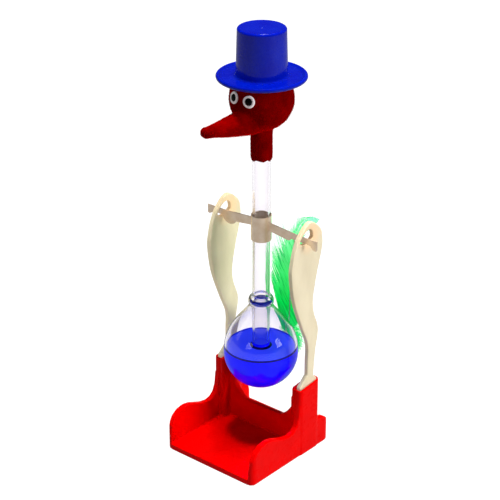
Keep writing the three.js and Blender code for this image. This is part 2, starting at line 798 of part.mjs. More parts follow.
addPiece("base_tray", tray(), redPlastic);
const leg = rightLeg();
addPiece("leg_right", leg, ivoryPlastic);
addPiece("leg_left", mirroredX(leg), ivoryPlastic);
addPiece("pivot_bar", pivotBar(), brightSteel);
addPiece("glass_stem", glassStem(), clearGlass);
addPiece("glass_bulb", glassBulb(), clearGlass);
addPiece("liquid_pool", liquidPool(), blueLiquid);
addPiece("liquid_column", liquidColumn(), blueLiquid);
addPiece("head_felt", headCover(), redFelt);
addPiece("neck_felt", neckSleeve(), redFelt);
addPiece("beak_felt", beakCover(), redFelt);
addPiece("beak_core", beakCore(), corkCore);
for (const [label, side] of [["left", -1], ["right", 1]]) {
  addPiece("eye_white_" + label, eyeWhite(side), whiteGloss);
  addPiece("eye_pupil_" + label, eyePupil(side), blackGloss);
  addPiece("tail_vane_" + label, vane(side), greenDown);
}
addPiece("hat", hat(), bluePlastic);
addPiece("tail_quill", quillSolid(quillRadius), quillHorn);
addPiece("tail_fluff", fluff(), greenDown);
addPiece("tail_glue", glueBlob(), clearGlue);

export default bird;
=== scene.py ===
import json
import math

import bpy
import numpy as np
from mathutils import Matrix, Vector, noise


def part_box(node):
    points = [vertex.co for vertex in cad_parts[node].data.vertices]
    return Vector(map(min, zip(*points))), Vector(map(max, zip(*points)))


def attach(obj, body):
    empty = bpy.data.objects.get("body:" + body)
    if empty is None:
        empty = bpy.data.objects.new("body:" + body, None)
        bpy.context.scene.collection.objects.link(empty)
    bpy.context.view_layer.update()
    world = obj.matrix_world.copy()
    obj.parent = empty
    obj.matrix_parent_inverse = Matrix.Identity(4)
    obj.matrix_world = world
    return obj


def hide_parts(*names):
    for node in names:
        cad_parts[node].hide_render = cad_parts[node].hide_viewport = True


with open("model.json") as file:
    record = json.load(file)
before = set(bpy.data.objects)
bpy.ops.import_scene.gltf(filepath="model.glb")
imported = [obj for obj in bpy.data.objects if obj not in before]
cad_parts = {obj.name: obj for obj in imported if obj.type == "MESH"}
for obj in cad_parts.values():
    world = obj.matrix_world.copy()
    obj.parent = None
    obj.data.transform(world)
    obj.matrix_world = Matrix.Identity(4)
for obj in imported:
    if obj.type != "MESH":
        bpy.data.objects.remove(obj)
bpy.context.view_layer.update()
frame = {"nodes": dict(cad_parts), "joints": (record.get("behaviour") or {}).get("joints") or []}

# The looks of a drinking bird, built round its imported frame. Metres, +Z up, the bird faces -Y.

MM = 0.001

# ---------------------------------------------------------------- places taken from the frame

PIVOT = Vector(frame["joints"][0]["pos_m"])
AXIS_Y = PIVOT.y
HAT_LOW, HAT_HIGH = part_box("hat")
BULB_LOW, BULB_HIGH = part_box("glass_bulb")
STEM_LOW, STEM_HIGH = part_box("glass_stem")
POOL_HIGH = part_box("liquid_pool")[1]
NECK_LOW, NECK_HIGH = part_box("neck_felt")
HEAD_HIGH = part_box("head_felt")[1]
BEAK_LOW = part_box("beak_felt")[0]

BRIM_RADIUS = HAT_HIGH.x
BULB_RADIUS = BULB_HIGH.x
BULB_Z = BULB_LOW.z + BULB_RADIUS
GLASS_HEAD_RADIUS = STEM_HIGH.x
HEAD_Z = STEM_HIGH.z - GLASS_HEAD_RADIUS
HEAD_RADIUS = HEAD_HIGH.x
NECK_RADIUS = NECK_HIGH.x
BEAK_LENGTH = AXIS_Y - BEAK_LOW.y

# ---------------------------------------------------------------- sizes, in millimetres

TUBE_RADIUS = 3.65
TUBE_WALL = 0.8
BULB_WALL = 0.8
NECK_ABOVE_BULB = 21.3
COLLAR_RADIUS = 5.25
COLLAR_GAP = 0.03  # between the tube and the bulb's collar, which the real toy fuses
NECK_GAP = 0.3  # between the tube and the inside of the bulb's neck
HAT_CLEARANCE = 0.15  # between the felt and the inside of the hat
CROWN_TOP_RADIUS = 9.6
CROWN_FOOT_RADIUS = 10.15
HAT_WALL = 0.9
BRIM_THICKNESS = 1.2
BRIM_BEAD = 1.9
CROWN_TOP_THICKNESS = 1.1
TAIL_REACH = 35
TAIL_RISE = 49
LEFT_VANE_WIDTH = 12
RIGHT_VANE_WIDTH = 9.6
QUILL_LENGTH = 62  # about, along its curve
LEAST_BARB = 1.2  # how far the shortest barbs reach sideways
FIBRE_LENGTH = 0.5
FIBRE_WIDTH = 0.07
FIBRE_ROOT = 0.05  # how deep the fibres start in the felt
FELT_TRIM = 0.1  # how far the felt starts inside its CAD size, which its roughness takes up
BEAK_BELOW_HEAD = 7.0  # from the head's middle down to the beak's root
BEAK_TIP_RISE = 2.6  # how much higher the beak's tip is than its root
BEAK_TIP_RADIUS = 2.3
EYE_SINK = 0.05  # how far the eyes are pressed into the felt

# ---------------------------------------------------------------- shares and counts

EYE_SPREAD = 1.17  # how much wider apart the eyes sit than their CAD places
EYE_SCALE = 0.96
WORN_FROM = 0.42  # the stretch of the quill, by share of its length, where most barbs are short
WORN_TO = 0.8
FIBRE_LEAN = 0.55  # how far from upright the fibres lean, as a share of their length
FIBRES = 26000
BARBS = 250  # on each side of the quill
DOWN_STRANDS = 460
FELT_SEED = 7
TAIL_SEED = 21

# ---------------------------------------------------------------- mesh helpers


def add_piece(name, vertices, faces, material, body, stands_for=(), crease=40):
    """A mesh from vertices in metres and faces, smooth but for edges sharper than crease degrees."""
    mesh = bpy.data.meshes.new(name)
    mesh.from_pydata([tuple(v) for v in vertices], [], [tuple(f) for f in faces])
    return add_mesh(name, mesh, material, body, stands_for, crease)


def add_mesh(name, mesh, material, body, stands_for=(), crease=40):
    mesh.materials.clear()
    mesh.materials.append(material)
    mesh.polygons.foreach_set("use_smooth", [True] * len(mesh.polygons))
    mesh.set_sharp_from_angle(angle=math.radians(crease))
    piece = bpy.data.objects.new(name, mesh)
    bpy.context.scene.collection.objects.link(piece)
    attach(piece, body)
    if stands_for:
        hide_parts(*stands_for)
    return piece


def evaluated_mesh(mesh, *modifiers):
    """The mesh after modifiers, each given as (type, {setting: value})."""
    holder = bpy.data.objects.new("holder", mesh)
    bpy.context.scene.collection.objects.link(holder)
    for index, (kind, settings) in enumerate(modifiers):
        modifier = holder.modifiers.new(str(index), kind)
        for key, value in settings.items():
            setattr(modifier, key, value)
    depsgraph = bpy.context.evaluated_depsgraph_get()
    result = bpy.data.meshes.new_from_object(holder.evaluated_get(depsgraph))
    bpy.data.objects.remove(holder)
    return result


def refined(name, node, voxel, passes, material, body):
    """A finer copy of a CAD node with its edges softened, which stands for the node."""
    mesh = evaluated_mesh(
        frame["nodes"][node].data.copy(),
        ("REMESH", {"mode": "VOXEL", "voxel_size": voxel * MM}),
        ("SMOOTH", {"factor": 0.5, "iterations": passes}),
    )
    return add_mesh(name, mesh, material, body, (node,), crease=60)


def supported(profile, gap=0.25):
    """The profile with a point added near both ends of each long side, which keeps its shading even."""
    points = []
    for (x, y), (next_x, next_y) in zip(profile, profile[1:]):
        points.append((x, y))
        length = math.hypot(next_x - x, next_y - y)
        if length > 4 * gap:
            for share in (gap / length, 1 - gap / length):
                points.append((x + (next_x - x) * share, y + (next_y - y) * share))
    points.append(profile[-1])
    return points


def lathe(profile, segments=96):
    """Vertices (millimetres, about the Z axis) and faces of a profile of (radius, height) points.

    A profile that starts and ends on the axis closes there; any other one closes on itself."""
    profile = supported(profile)
    rings = []
    vertices = []
    for radius, height in profile:
        if radius < 1e-6:
            rings.append([len(vertices)])
            vertices.append((0, 0, height))
            continue
        rings.append(list(range(len(vertices), len(vertices) + segments)))
        for i in range(segments):
            angle = 2 * math.pi * i / segments
            vertices.append((radius * math.cos(angle), radius * math.sin(angle), height))
    pairs = list(zip(rings, rings[1:]))
    if profile[0][0] > 1e-6:
        pairs.append((rings[-1], rings[0]))
    faces = []
    for low, high in pairs:
        for i in range(segments):
            j = (i + 1) % segments
            if len(low) == 1 and len(high) == 1:
                continue
            if len(low) == 1:
                faces.append((low[0], high[j], high[i]))
            elif len(high) == 1:
                faces.append((low[i], low[j], high[0]))
            else:
                faces.append((low[i], low[j], high[j], high[i]))
    return vertices, faces


def on_axis(vertices, height=0.0):
    """Moves millimetre vertices onto the glass tube's axis, in metres."""
    return [(x * MM, y * MM + AXIS_Y, z * MM + height) for x, y, z in vertices]


def arc(height, radius, start, end, steps, centre=0.0):
    """(radius, height) points along a circular arc between two angles in degrees."""
    angles = [math.radians(start + (end - start) * i / steps) for i in range(steps + 1)]
    return [(max(0.0, centre + radius * math.cos(a)), height + radius * math.sin(a)) for a in angles]


def smooth_line(points, steps):
    """Points on a smooth curve through all the given points."""
    points = [np.array(p, float) for p in points]
    padded = [2 * points[0] - points[1], *points, 2 * points[-1] - points[-2]]
    line = []
    for i in range(1, len(padded) - 2):
        a, b, c, d = padded[i - 1 : i + 3]
        for k in range(steps):
            t = k / steps
            squared = (2 * a - 5 * b + 4 * c - d) * t**2
            cubed = (3 * b - a - 3 * c + d) * t**3
            line.append(0.5 * (2 * b + (c - a) * t + squared + cubed))
    line.append(points[-1])
    return line


def strand(centres, widths, thicknesses, across, sides=4):
    """A closed tapered strand: rings of sides points round each centre, wide along across."""
    centres = np.array(centres, float)
    along = np.gradient(centres, axis=0)
    along /= np.linalg.norm(along, axis=1)[:, None]
    wide = across - (along @ across)[:, None] * along
    wide /= np.linalg.norm(wide, axis=1)[:, None]
    deep = np.cross(along, wide)
    vertices = []
    for centre, w, d, width, thickness in zip(centres, wide, deep, widths, thicknesses):
        for k in range(sides):
            angle = 2 * math.pi * k / sides
            sideways = w * width * math.cos(angle) / 2
            vertices.append(centre + sideways + d * thickness * math.sin(angle) / 2)
    faces = []
    rings = len(centres)
    for r in range(rings - 1):
        for k in range(sides):
            n = (k + 1) % sides
            faces.append((r * sides + k, r * sides + n, (r + 1) * sides + n, (r + 1) * sides + k))
    faces.append(tuple(reversed(range(sides))))
    faces.append(tuple(range((rings - 1) * sides, rings * sides)))
    return vertices, faces


def gathered(strands):
    """Many (vertices, faces) pairs as one."""
    vertices = []
    faces = []
    for some_vertices, some_faces in strands:
        offset = len(vertices)
        vertices.extend(some_vertices)
        faces.extend(tuple(i + offset for i in face) for face in some_faces)
    return vertices, faces


# ---------------------------------------------------------------- materials


class Look:
    """A node material round one Principled shader, with short ways to add noise and bump."""

    def __init__(self, name, **shader_values):
        self.material = bpy.data.materials.new(name)
        self.material.use_nodes = True
        self.tree = self.material.node_tree
        self.shader = self.tree.nodes["Principled BSDF"]
        for key, value in shader_values.items():
            self.shader.inputs[key.replace("_", " ")].default_value = value
        self.place = self.tree.nodes.new("ShaderNodeTexCoord").outputs["Object"]

    def node(self, kind, **settings):
        made = self.tree.nodes.new(kind)
        for key, value in settings.items():
            setattr(made, key, value)
        return made

    def link(self, source, target):
        self.tree.links.new(source, target)

    def stretched(self, scale):
        """The place on the piece, scaled by three numbers."""
        mapping = self.node("ShaderNodeMapping")
        mapping.inputs["Scale"].default_value = scale
        self.link(self.place, mapping.inputs["Vector"])
        return mapping.outputs["Vector"]

    def noise(self, size_mm, detail=3.0, place=None, roughness=0.5):
        """Noise whose features are about size_mm across."""
        made = self.node("ShaderNodeTexNoise")
        made.inputs["Scale"].default_value = 1.0 / (size_mm * MM)
        made.inputs["Detail"].default_value = detail
        made.inputs["Roughness"].default_value = roughness
        self.link(place or self.place, made.inputs["Vector"])
        return made.outputs["Fac"]

    def ramp(self, source, *stops):
        """A colour ramp from (position, (r, g, b)) stops."""
        made = self.node("ShaderNodeValToRGB")
        elements = made.color_ramp.elements
        while len(elements) < len(stops):
            elements.new(0.5)
        for element, (position, colour) in zip(elements, stops):
            element.position = position
            element.color = (*colour, 1)
        self.link(source, made.inputs["Fac"])
        return made.outputs["Color"]

    def ranged(self, source, low, high, new_low, new_high):
        """The source's range from low to high as new_low to new_high, held at its ends."""
        made = self.node("ShaderNodeMapRange")
        made.inputs["From Min"].default_value = low
        made.inputs["From Max"].default_value = high
        made.inputs["To Min"].default_value = new_low
        made.inputs["To Max"].default_value = new_high
        self.link(source, made.inputs["Value"])
        return made.outputs["Result"]

    def mixed(self, factor, first, second, blend="MIX"):
        """Mixes two colours, each a socket or an (r, g, b)."""
        made = self.node("ShaderNodeMix", data_type="RGBA", blend_type=blend)
        sockets = {s.identifier: s for s in made.inputs}
        self._feed(factor, sockets["Factor_Float"])
        self._feed(first, sockets["A_Color"])
        self._feed(second, sockets["B_Color"])
        return next(s for s in made.outputs if s.identifier == "Result_Color")

    def _feed(self, value, socket):
        if isinstance(value, bpy.types.NodeSocket):
            self.link(value, socket)
        elif isinstance(value, tuple):
            socket.default_value = (*value, 1)
        else:
            socket.default_value = value

    def painted_glow(self, source, strength):
        """Painted light: a faint glow of the surface's own colour, which stands in for fill light and for
        light that comes through the surface.
        """
        self.link(source, self.shader.inputs["Emission Color"])
        self.shader.inputs["Emission Strength"].default_value = strength

    def colour(self, source):
        self.link(source, self.shader.inputs["Base Color"])

    def rough(self, source, low, high):
        self.link(self.ranged(source, 0.3, 0.7, low, high), self.shader.inputs["Roughness"])

    def bump(self, source, height_mm, strength=1.0):
        made = self.node("ShaderNodeBump")
        made.inputs["Strength"].default_value = strength
        made.inputs["Distance"].default_value = height_mm * MM
        self.link(source, made.inputs["Height"])
        previous = self.shader.inputs["Normal"].links
        if previous:
            self.link(previous[0].from_socket, made.inputs["Normal"])
        self.link(made.outputs["Normal"], self.shader.inputs["Normal"])


def tray_look():
    look = Look("red_plastic", Specular_IOR_Level=0.05)
    look.colour(look.ramp(look.noise(9, 2), (0.3, (0.66, 0.0, 0.0)), (0.7, (0.74, 0.0, 0.0))))
    look.rough(look.noise(2.5, 4), 0.24, 0.34)
    look.bump(look.noise(0.9, 2), 0.005, 0.5)
    look.bump(look.noise(7, 2), 0.04, 0.2)
    return look.material


def leg_look(name, deep, light, painted_glow):
    """Cloudy ivory plastic, warmer round the hole that the bar rests in."""
    look = Look(name, Subsurface_Weight=0.12, Subsurface_Scale=0.002, Specular_IOR_Level=0.3)
    look.shader.inputs["Subsurface Radius"].default_value = (1.0, 0.7, 0.4)
    body = look.ramp(look.noise(6, 4, look.stretched((1, 1, 0.35))), (0.3, deep), (0.7, light))
    hole = (0, AXIS_Y + 3 * MM, PIVOT.z + 2 * MM)
    from_hole = look.node("ShaderNodeVectorMath", operation="DISTANCE")
    look.link(look.stretched((0, 1, 1)), from_hole.inputs[0])
    from_hole.inputs[1].default_value = hole
    near_hole = look.ranged(from_hole.outputs["Value"], 3 * MM, 8 * MM, 0.45, 0.0)
    surface = look.mixed(near_hole, body, (0.80, 0.47, 0.21))
    look.colour(surface)
    # Painted light: the glow lifts the leg as fill light would.
    look.painted_glow(surface, painted_glow)
    look.rough(look.noise(1.5, 5), 0.36, 0.52)
    look.bump(look.noise(0.5, 3), 0.01, 0.5)
    look.bump(look.noise(4, 2, look.stretched((1, 1, 0.4))), 0.08, 0.4)
    return look.material


def steel_look():
    look = Look("warm_steel", Metallic=0.7, Anisotropic=0.35)
    tone = look.ramp(look.noise(3, 4), (0.3, (0.78, 0.60, 0.43)), (0.7, (0.90, 0.74, 0.58)))
    look.colour(tone)
    # Painted light: a faint glow of the steel's own tone, which lifts it as fill light would.
    look.painted_glow(tone, 0.12)
    brushed = look.noise(0.35, 3, look.stretched((0.2, 1, 1)))
    look.rough(brushed, 0.22, 0.27)
    look.bump(brushed, 0.001, 0.4)
    return look.material


def glass_look(name, middle, edge, edge_width):
    """Clear glass, with painted shade where it is seen along its wall: darker edges that stand for dark
    surroundings refracted and reflected there.
    """
    look = Look(name, Transmission_Weight=1.0, IOR=1.33, Roughness=0.0)
    clear = look.ramp(look.noise(14, 2), (0.3, middle), (0.7, tuple(0.8 * c + 0.2 for c in middle)))
    slant = look.node("ShaderNodeLayerWeight")
    slant.inputs["Blend"].default_value = edge_width
    look.colour(look.mixed(slant.outputs["Facing"], clear, edge))
    look.bump(look.noise(11, 1), 0.03, 0.35)
    return look.material


def liquid_look():
    """Dyed liquid, with a painted reflection that makes its level surface paler than its depth, and a
    painted glow for the light that comes through it.
    """
    look = Look("blue_liquid", Transmission_Weight=0.15, IOR=1.34, Roughness=0.02, Specular_IOR_Level=0.1)
    depth = look.ramp(look.noise(9, 2), (0.3, (0.0, 0.0, 0.8)), (0.7, (0.001, 0.002, 0.95)))
    split = look.node("ShaderNodeSeparateXYZ")
    look.link(look.node("ShaderNodeNewGeometry").outputs["Normal"], split.inputs[0])
    # Painted reflection: surfaces that face up get a paler blue.
    level = look.ranged(split.outputs["Z"], 0.7, 0.98, 0.0, 1.0)
    surface = look.mixed(level, depth, (0.025, 0.05, 1.0))
    look.colour(surface)
    look.painted_glow(surface, 0.5)
    look.bump(look.noise(8, 1), 0.02, 0.2)
    return look.material


def collar_painted_refraction_look():
    # Painted refraction: the blue of the liquid as the collar glass shows it.
    look = Look("collar_refraction_paint", Transmission_Weight=0.45, IOR=1.34, Roughness=0.02, Specular_IOR_Level=0.2)
    look.colour(look.ramp(look.noise(2.5, 2), (0.3, (0.0, 0.0, 0.55)), (0.7, (0.02, 0.08, 1.0))))
    return look.material


def painted_meniscus_shade_look():
    # Painted shade: near-black blue for the dark lines where the liquid meets the glass.
    look = Look("meniscus_shade_paint", Roughness=0.1, Specular_IOR_Level=0.1)
    look.colour(look.ramp(look.noise(3, 2), (0.3, (0.0, 0.0, 0.06)), (0.7, (0.0, 0.0, 0.16))))
    return look.material


def felt_look():
    look = Look("red_felt", Roughness=1.0, Sheen_Weight=1.0, Sheen_Roughness=0.3, Specular_IOR_Level=0.0)
    look.shader.inputs["Sheen Tint"].default_value = (1.0, 0.0, 0.0, 1)
    patches = look.ramp(look.noise(5, 3), (0.3, (0.11, 0.0, 0.0)), (0.72, (0.23, 0.0, 0.0)))
    specks = look.ramp(look.noise(0.28, 2), (0.35, (0.45, 0.4, 0.4)), (0.65, (1.0, 1.0, 1.0)))
    look.colour(look.mixed(0.8, patches, specks, "MULTIPLY"))
    look.bump(look.noise(0.3, 3, roughness=0.7), 0.14, 0.9)
    return look.material


def fibre_look():
    # Painted rim light: the fibres are a lighter red than the felt, which brightens the fuzzy outline.
    look = Look("felt_fibre_painted_rim", Roughness=0.9, Sheen_Weight=1.0, Sheen_Roughness=0.4, Specular_IOR_Level=0.0)
    look.shader.inputs["Sheen Tint"].default_value = (0.9, 0.0, 0.0, 1)
    look.colour(look.ramp(look.noise(0.7, 2), (0.3, (0.26, 0.0, 0.0)), (0.7, (0.52, 0.0, 0.0))))
    return look.material


def hat_look():
    look = Look("blue_plastic", Specular_IOR_Level=0.1, Coat_Weight=0.55, Coat_Roughness=0.07)
    look.colour(look.ramp(look.noise(7, 2), (0.3, (0.0, 0.003, 0.25)), (0.7, (0.0, 0.007, 0.29))))
    look.rough(look.noise(2, 4), 0.22, 0.33)
    look.bump(look.noise(0.8, 2), 0.004, 0.4)
    look.bump(look.noise(6, 2), 0.03, 0.2)
    return look.material


def gloss_look(name, deep, light, roughness):
    look = Look(name, Specular_IOR_Level=0.12)
    look.colour(look.ramp(look.noise(0.8, 3), (0.3, deep), (0.7, light)))
    look.rough(look.noise(0.4, 2), roughness * 0.85, roughness * 1.15)
    look.bump(look.noise(0.5, 2), 0.006, 0.4)
    return look.material


def feather_look():
    """Dyed feather, paler towards its tip and streaked along its barbs."""
    look = Look("green_feather", Roughness=0.65, Specular_IOR_Level=0.05)
    split = look.node("ShaderNodeSeparateXYZ")
    look.link(look.place, split.inputs[0])
    height = look.ranged(split.outputs["Z"], BULB_Z - 0.01, BULB_Z + TAIL_RISE * MM, 0.0, 1.0)
    along = look.ramp(
        height,
        (0.0, (0.05, 0.62, 0.20)),
        (0.40, (0.0, 0.80, 0.10)),
        (0.62, (0.06, 0.86, 0.20)),
        (1.0, (0.24, 0.95, 0.42)),
    )
    barb_slant = math.radians(-40)
    streak_length = 14
    barbwise = look.node("ShaderNodeMapping", vector_type="TEXTURE")
    barbwise.inputs["Rotation"].default_value = (0, barb_slant, 0)
    barbwise.inputs["Scale"].default_value = (1, 1, streak_length)
    look.link(look.place, barbwise.inputs["Vector"])
    combed = look.noise(0.8, 3, barbwise.outputs["Vector"])
    streaks = look.ramp(combed, (0.34, (0.0, 0.45, 0.3)), (0.58, (1.0, 1.0, 1.0)))
    surface = look.mixed(0.8, along, streaks, "MULTIPLY")
    look.colour(surface)
    # Painted light: the glow brightens the feather as light through it would.
    look.painted_glow(surface, 0.42)
    look.bump(look.noise(0.25, 2), 0.04, 0.6)
    look.shader.inputs["Subsurface Weight"].default_value = 0.3
    look.shader.inputs["Subsurface Scale"].default_value = 0.001
    look.shader.inputs["Subsurface Radius"].default_value = (0.4, 1.0, 0.5)
    return look.material


def quill_look():
    look = Look("quill_horn", Subsurface_Weight=0.2, Subsurface_Scale=0.001)
    look.colour(look.ramp(look.noise(2, 3), (0.3, (0.22, 0.62, 0.28)), (0.7, (0.5, 0.85, 0.55))))
    look.rough(look.noise(0.6, 2), 0.35, 0.5)
    look.bump(look.noise(0.4, 2, look.stretched((1, 1, 0.2))), 0.01, 0.5)
    return look.material


def floor_look():
    """A sheet that looks white, but that lights the bird and shows in its gloss less than white would."""
    diffuse_loss = 0.78
    gloss_loss = 0.85
    look = Look("pale_floor", Specular_IOR_Level=0.0)
    look.colour(look.ramp(look.noise(400, 2), (0.3, (0.11, 0.11, 0.11)), (0.7, (0.12, 0.12, 0.12))))
    look.rough(look.noise(30, 2), 0.9, 1.0)
    path = look.node("ShaderNodeLightPath")
    lit = look.node("ShaderNodeMath", operation="MULTIPLY_ADD")
    look.link(path.outputs["Is Diffuse Ray"], lit.inputs[0])
    lit.inputs[1].default_value = -diffuse_loss
    lit.inputs[2].default_value = 1.0
    mirrored = look.node("ShaderNodeMath", operation="SUBTRACT", use_clamp=True)
    look.link(path.outputs["Is Glossy Ray"], mirrored.inputs[0])
    look.link(path.outputs["Is Transmission Ray"], mirrored.inputs[1])
    seen = look.node("ShaderNodeMath", operation="MULTIPLY_ADD")
    look.link(mirrored.outputs[0], seen.inputs[0])
    seen.inputs[1].default_value = -gloss_loss
    look.link(lit.outputs[0], seen.inputs[2])
    look.shader.inputs["Emission Color"].default_value = (1, 1, 1, 1)
    look.link(seen.outputs[0], look.shader.inputs["Emission Strength"])
    return look.material


# ---------------------------------------------------------------- stand


def make_stand():
    red = tray_look()
    refined("base_tray_shell", "base_tray", 0.3, 7, red, "stand")
    # The two legs are lit and shaded copies of one ivory plastic: the left leg gets a strong painted glow
    # to lift it out of shade, the right leg a darker base and a weaker glow to tone down the light on it.
    left = leg_look("ivory_left_painted_bright", (0.48, 0.43, 0.28), (0.56, 0.50, 0.34), 0.48)
    right = leg_look("ivory_right_painted_dim", (0.53, 0.46, 0.32), (0.61, 0.54, 0.385), 0.16)
    refined("leg_left_moulding", "leg_left", 0.2, 6, left, "stand")
    refined("leg_right_moulding", "leg_right", 0.2, 6, right, "stand")
    refined("pivot_bar_strip", "pivot_bar", 0.1, 2, steel_look(), "clip")


# ---------------------------------------------------------------- glass and liquid

# The bulb's shoulder, as (share from the tube's radius to the bulb's, share of the height to the neck).
SHOULDER = [
    (0.98, 0.18), (0.92, 0.315), (0.83, 0.43), (0.68, 0.56), (0.5, 0.695), (0.285, 0.826), (0.08, 0.95),
]


def bulb_outline(inset):
    """The bulb's outline from its lowest point to its neck, drawn in by inset millimetres."""
    radius = BULB_RADIUS / MM - inset
    tube = TUBE_RADIUS + BULB_WALL + NECK_GAP - inset
    corners = [(radius, 0.0)] + [
        (tube + (radius - tube) * out, NECK_ABOVE_BULB * up) for out, up in SHOULDER
    ]
    lower = arc(0, radius, -90, -6, 28)
    return lower + [tuple(p) for p in smooth_line(corners, 6)]


def make_glass():
    # The third colour is the painted shade at the glass's edges.
    clear = glass_look("clear_glass", (0.935, 0.915, 0.94), (0.42, 0.40, 0.46), 0.16)
    inner = TUBE_RADIUS - TUBE_WALL
    head = GLASS_HEAD_RADIUS / MM
    foot = (STEM_LOW.z - HEAD_Z) / MM
    outer_angle = -math.degrees(math.acos(TUBE_RADIUS / head))
    inner_angle = -math.degrees(math.acos(inner / (head - TUBE_WALL)))
    bevel_width = 0.2
    bevel_height = 0.25
    stem = [
        *arc(0, head - TUBE_WALL, 90, inner_angle, 24),
        (inner, foot + bevel_height),
        (inner + bevel_width, foot),
        (TUBE_RADIUS - bevel_width, foot),
        (TUBE_RADIUS, foot + bevel_height),
        *arc(0, head, outer_angle, 90, 24),
    ]
    vertices, faces = lathe(stem, 72)
    add_piece("glass_tube", on_axis(vertices, HEAD_Z), faces, clear, "bird", ("glass_stem",))
    bore = TUBE_RADIUS + COLLAR_GAP
    low = NECK_ABOVE_BULB
    groove = low + 1.9
    high = (BULB_HIGH.z - BULB_Z) / MM
    collar = smooth_line(
        [
            (COLLAR_RADIUS - 0.35, low + 0.5),
            (COLLAR_RADIUS, low + 1.7),
            (COLLAR_RADIUS - 0.05, low + 2.9),
            (COLLAR_RADIUS - 0.6, low + 4.0),
            (bore + 0.45, high - 0.1),
            (bore, high),
        ],
        5,
    )
    bulb = [
        *bulb_outline(0),
        *[tuple(p) for p in collar],
        (bore, low + 3.1),
        *arc(groove, 0.98, 80, -80, 10, bore - 0.16),
        (bore, low + 0.4),
        *reversed(bulb_outline(BULB_WALL)),
    ]
    vertices, faces = lathe(bulb, 96)
    placed = on_axis(vertices, BULB_Z)
    add_piece("glass_lower_bulb", placed, faces, clear, "bird", ("glass_bulb",))
    # Painted refraction: a blue ring in the collar's groove stands for the liquid's blue seen through the
    # collar glass, not for liquid held there.
    drop = arc(groove, 0.95, 80, -80, 10, bore - 0.15)
    vertices, faces = lathe([*reversed(drop), (bore + 0.02, low + 2.8), (bore + 0.02, low + 1.0)], 72)
    blue = collar_painted_refraction_look()
    add_piece("painted_refraction_in_collar", on_axis(vertices, BULB_Z), faces, blue, "bird")


def make_liquid():
    blue = liquid_look()
    level = (POOL_HIGH.z - BULB_Z) / MM
    foot = (STEM_LOW.z - BULB_Z) / MM
    wall = [p for p in bulb_outline(BULB_WALL - 0.05) if p[1] < level - 0.1]
    edge = wall[-1][0]
    tube = TUBE_RADIUS - 0.03
    meniscus = [
        (edge - 0.02, level + 0.55),
        (edge - 0.25, level + 0.25),
        (edge - 0.7, level + 0.06),
        (edge - 1.6, level),
    ]
    rise = [(tube + 1.2, level), (tube + 0.4, level + 0.12), (tube, level + 0.5)]
    pool = [*wall, *meniscus, *rise, (tube, foot - 0.02), (0, foot - 0.02)]
    vertices, faces = lathe(pool, 96)
    placed = on_axis(vertices, BULB_Z)
    add_piece("liquid_in_bulb", placed, faces, blue, "bird", ("liquid_pool",))
    # Painted shade: thin dark rings at the liquid's edge along the bulb wall and round the tube.
    outer_shade_ring = [
        (edge - 0.5, level + 0.03),
        (edge - 0.2, level - 0.35),
        (edge + 0.05, level - 0.3),
        (edge + 0.02, level + 0.42),
        (edge - 0.25, level + 0.3),
    ]
    tube_shade_ring = [
        (tube + 0.02, level - 0.1),
        (tube + 1.0, level + 0.02),
        (tube + 0.4, level + 0.2),
        (tube + 0.02, level + 0.6),
    ]
    vertices, faces = gathered([lathe(outer_shade_ring, 96), lathe(tube_shade_ring, 64)])
    add_piece("painted_meniscus_shade", on_axis(vertices, BULB_Z), faces, painted_meniscus_shade_look(), "bird")
    inner = TUBE_RADIUS - TUBE_WALL + 0.03
    column = [
        (0, foot + 0.02),
        (inner, foot + 0.02),
        (inner, level + 1.6),
        (inner - 0.5, level + 1.25),
        (0, level + 1.1),
    ]
    vertices, faces = lathe(column, 48)
    placed = on_axis(vertices, BULB_Z)
    add_piece("liquid_in_tube", placed, faces, blue, "bird", ("liquid_column",))


# ---------------------------------------------------------------- head


def beak_shape():
    """The beak's rings, from inside the head to its blunt tip, in millimetres from the head's middle."""
    length = BEAK_LENGTH / MM
    stations = [
        (4, 6.0), (8, 5.6), (12.5, 5.0), (16, 4.45), (20, 3.9), (24, 3.25), (28, 2.65),
        (length - 4, BEAK_TIP_RADIUS),
    ]
    line = [tuple(p) for p in smooth_line(stations, 4)]
    middle = length - BEAK_TIP_RADIUS
    line = [p for p in line if p[0] < middle]
    for angle in np.linspace(0, 1.35, 8):
        line.append((middle + BEAK_TIP_RADIUS * math.sin(angle), BEAK_TIP_RADIUS * math.cos(angle)))
    vertices = []
    sides = 40
    straight = 8
    for reach, radius in line:
        bent = max(0.0, (reach - straight) / (length - straight))
        lift = -BEAK_BELOW_HEAD + BEAK_TIP_RISE * bent**1.5
        for k in range(sides):
            angle = 2 * math.pi * k / sides
            vertices.append((radius * math.cos(angle), -reach, lift + radius * math.sin(angle)))
    faces = []
    for r in range(len(line) - 1):
        for k in range(sides):
            n = (k + 1) % sides
            faces.append((r * sides + n, r * sides + k, (r + 1) * sides + k, (r + 1) * sides + n))
    faces.append(tuple(range(sides)))
    faces.append(tuple(reversed(range((len(line) - 1) * sides, len(line) * sides))))
    return vertices, faces


def shaken(mesh, height_mm, size_mm, seed):
    """Moves each point along its normal by smooth noise."""
    count = len(mesh.vertices)
    points = np.zeros(count * 3)
    normals = np.zeros(count * 3)
    mesh.vertices.foreach_get("co", points)
    mesh.vertex_normals.foreach_get("vector", normals)
    points = points.reshape(-1, 3)
    normals = normals.reshape(-1, 3)
    scaled = points / (size_mm * MM) + seed
    amount = np.array([noise.noise(Vector(p)) for p in scaled]) * height_mm * MM
    points = points + normals * amount[:, None]
    mesh.vertices.foreach_set("co", points.ravel())
    mesh.update()


